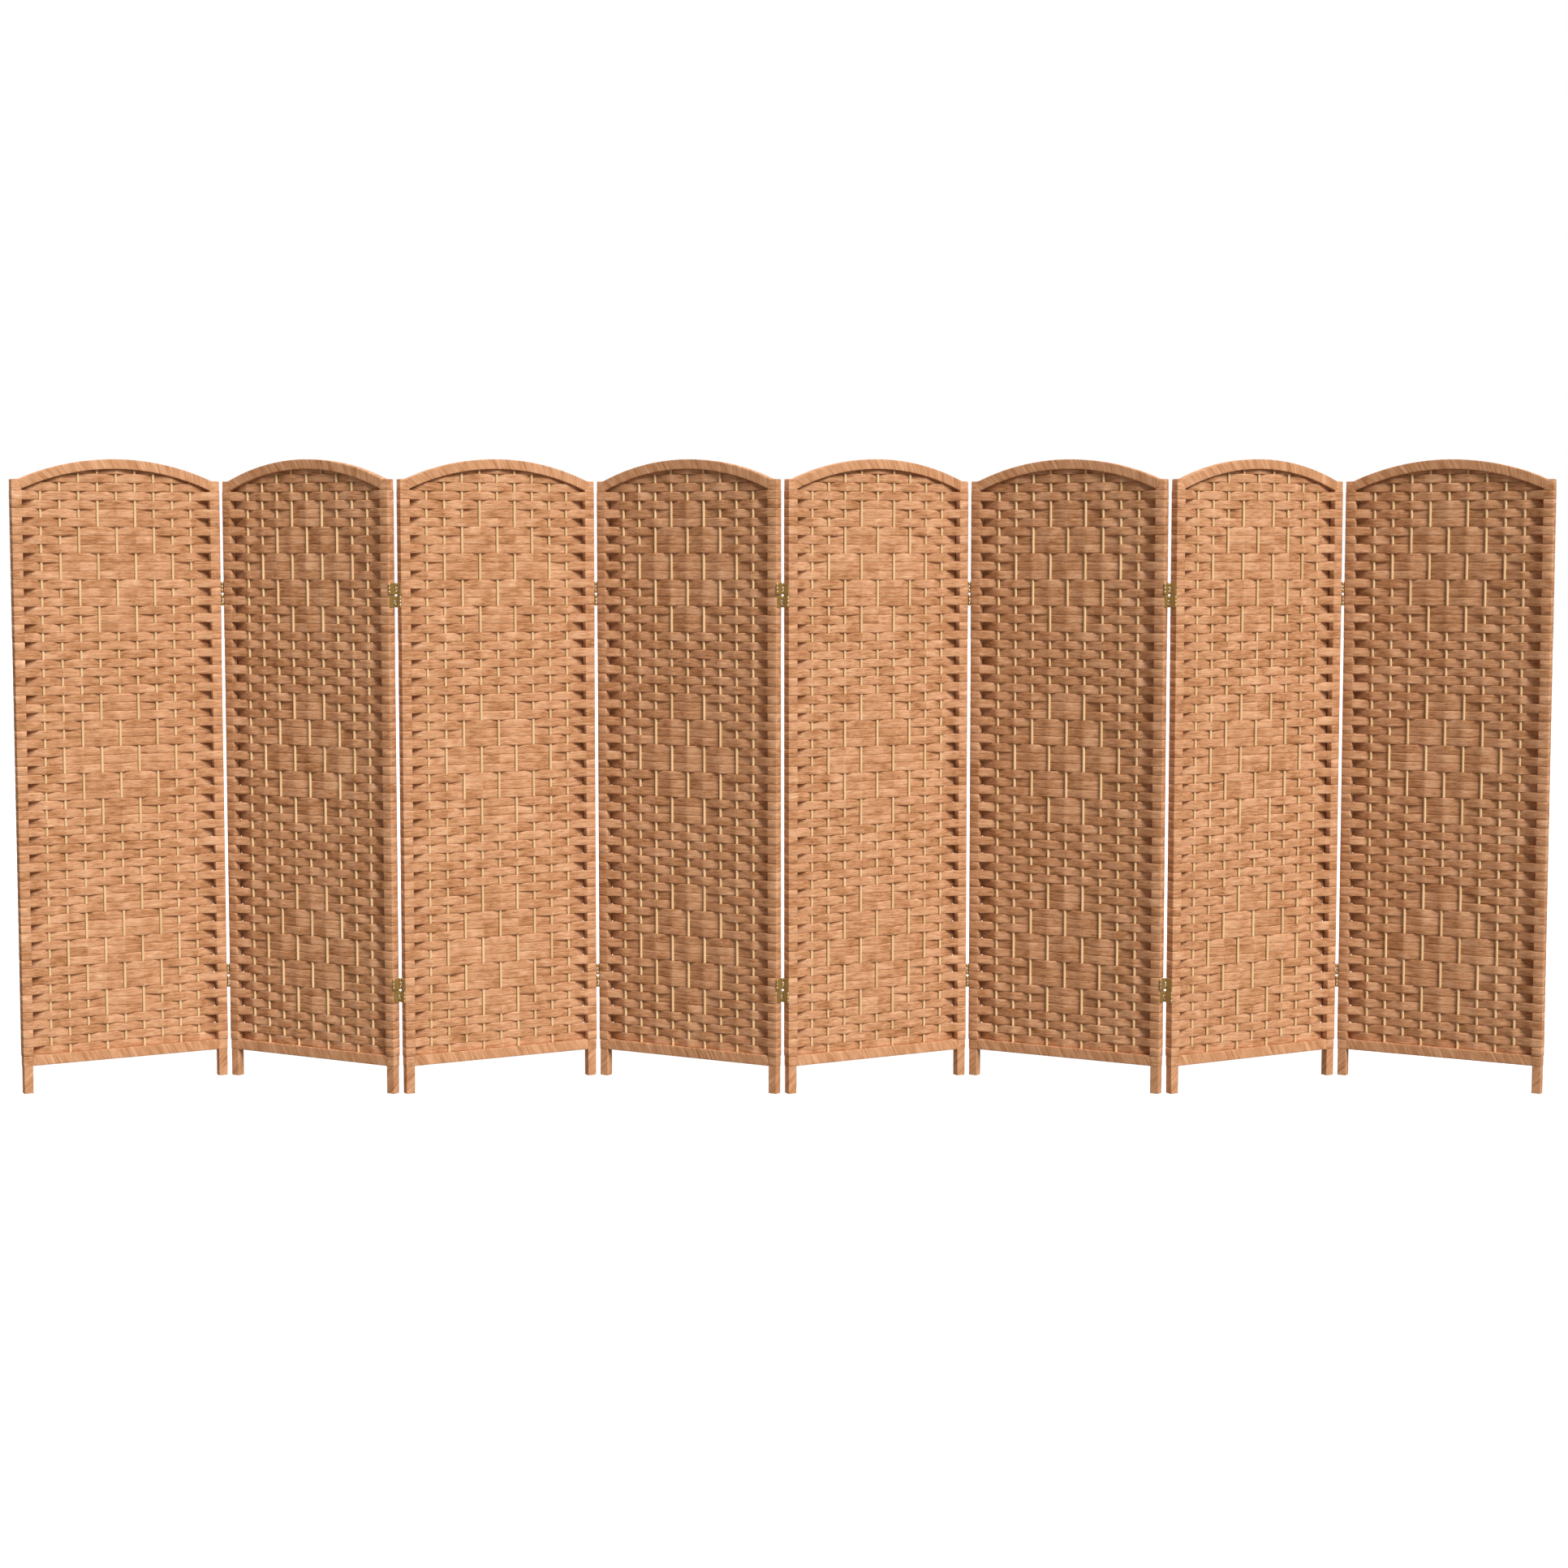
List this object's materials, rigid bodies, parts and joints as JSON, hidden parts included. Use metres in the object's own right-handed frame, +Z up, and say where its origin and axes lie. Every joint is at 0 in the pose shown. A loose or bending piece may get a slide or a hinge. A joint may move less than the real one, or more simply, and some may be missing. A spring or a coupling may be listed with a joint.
{
  "type": "folding screen",
  "caption": "Free-standing folding room divider with arched panels of fibre strips woven over bamboo stakes, joined by brass double-acting hinges.",
  "frame": {"origin": "on the floor, in the middle of the screen's width and depth", "axes": "+X along the line of the screen to the right as seen from the front, +Y to the back, +Z up"},
  "size_m": [4.1016, 0.32, 1.7009],
  "materials": {
    "frame_wood": "sawn softwood, unfinished",
    "wound_fibre": "flat fibre strip, tightly wound, matt",
    "bamboo": "peeled bamboo, satin",
    "woven_fibre": "flat fibre strip, woven, matt",
    "hinge_brass": "brass plated, satin"
  },
  "bodies": {
    "panel_1": {"panel_1_posts": "frame_wood", "panel_1_rails": "frame_wood", "panel_1_binding": "wound_fibre", "panel_1_stakes": "bamboo", "panel_1_weave": "woven_fibre", "panel_1_hinges": "hinge_brass", "panel_1_pins_and_screws": "hinge_brass"},
    "panel_2": {"panel_2_posts": "frame_wood", "panel_2_rails": "frame_wood", "panel_2_binding": "wound_fibre", "panel_2_stakes": "bamboo", "panel_2_weave": "woven_fibre", "panel_2_hinges": "hinge_brass", "panel_2_pins_and_screws": "hinge_brass"},
    "panel_3": {"panel_3_posts": "frame_wood", "panel_3_rails": "frame_wood", "panel_3_binding": "wound_fibre", "panel_3_stakes": "bamboo", "panel_3_weave": "woven_fibre", "panel_3_hinges": "hinge_brass", "panel_3_pins_and_screws": "hinge_brass"},
    "panel_4": {"panel_4_posts": "frame_wood", "panel_4_rails": "frame_wood", "panel_4_binding": "wound_fibre", "panel_4_stakes": "bamboo", "panel_4_weave": "woven_fibre", "panel_4_hinges": "hinge_brass", "panel_4_pins_and_screws": "hinge_brass"},
    "panel_5": {"panel_5_posts": "frame_wood", "panel_5_rails": "frame_wood", "panel_5_binding": "wound_fibre", "panel_5_stakes": "bamboo", "panel_5_weave": "woven_fibre", "panel_5_hinges": "hinge_brass", "panel_5_pins_and_screws": "hinge_brass"},
    "panel_6": {"panel_6_posts": "frame_wood", "panel_6_rails": "frame_wood", "panel_6_binding": "wound_fibre", "panel_6_stakes": "bamboo", "panel_6_weave": "woven_fibre", "panel_6_hinges": "hinge_brass", "panel_6_pins_and_screws": "hinge_brass"},
    "panel_7": {"panel_7_posts": "frame_wood", "panel_7_rails": "frame_wood", "panel_7_binding": "wound_fibre", "panel_7_stakes": "bamboo", "panel_7_weave": "woven_fibre", "panel_7_hinges": "hinge_brass", "panel_7_pins_and_screws": "hinge_brass"},
    "panel_8": {"panel_8_posts": "frame_wood", "panel_8_rails": "frame_wood", "panel_8_binding": "wound_fibre", "panel_8_stakes": "bamboo", "panel_8_weave": "woven_fibre", "panel_8_hinges": "hinge_brass", "panel_8_pins_and_screws": "hinge_brass"}
  },
  "joints": [
    {"name": "fold_1_2", "type": "hinge", "parent": "panel_2", "child": "panel_1", "pos_m": [-1.54043, 0.13259, 0], "axis": [0, 0, -1], "range_deg": [-119.7, 60.3]},
    {"name": "fold_2_3", "type": "hinge", "parent": "panel_3", "child": "panel_2", "pos_m": [-1.02695, -0.13259, 0], "axis": [0, 0, 1], "range_deg": [-119.7, 60.3]},
    {"name": "fold_3_4", "type": "hinge", "parent": "panel_4", "child": "panel_3", "pos_m": [-0.51348, 0.13259, 0], "axis": [0, 0, -1], "range_deg": [-119.7, 60.3]},
    {"name": "fold_4_5", "type": "hinge", "parent": "panel_4", "child": "panel_5", "pos_m": [0, -0.13259, 0], "axis": [0, 0, -1], "range_deg": [-119.7, 60.3]},
    {"name": "fold_5_6", "type": "hinge", "parent": "panel_5", "child": "panel_6", "pos_m": [0.51348, 0.13259, 0], "axis": [0, 0, 1], "range_deg": [-119.7, 60.3]},
    {"name": "fold_6_7", "type": "hinge", "parent": "panel_6", "child": "panel_7", "pos_m": [1.02695, -0.13259, 0], "axis": [0, 0, -1], "range_deg": [-119.7, 60.3]},
    {"name": "fold_7_8", "type": "hinge", "parent": "panel_7", "child": "panel_8", "pos_m": [1.54043, 0.13259, 0], "axis": [0, 0, 1], "range_deg": [-119.7, 60.3]}
  ]
}
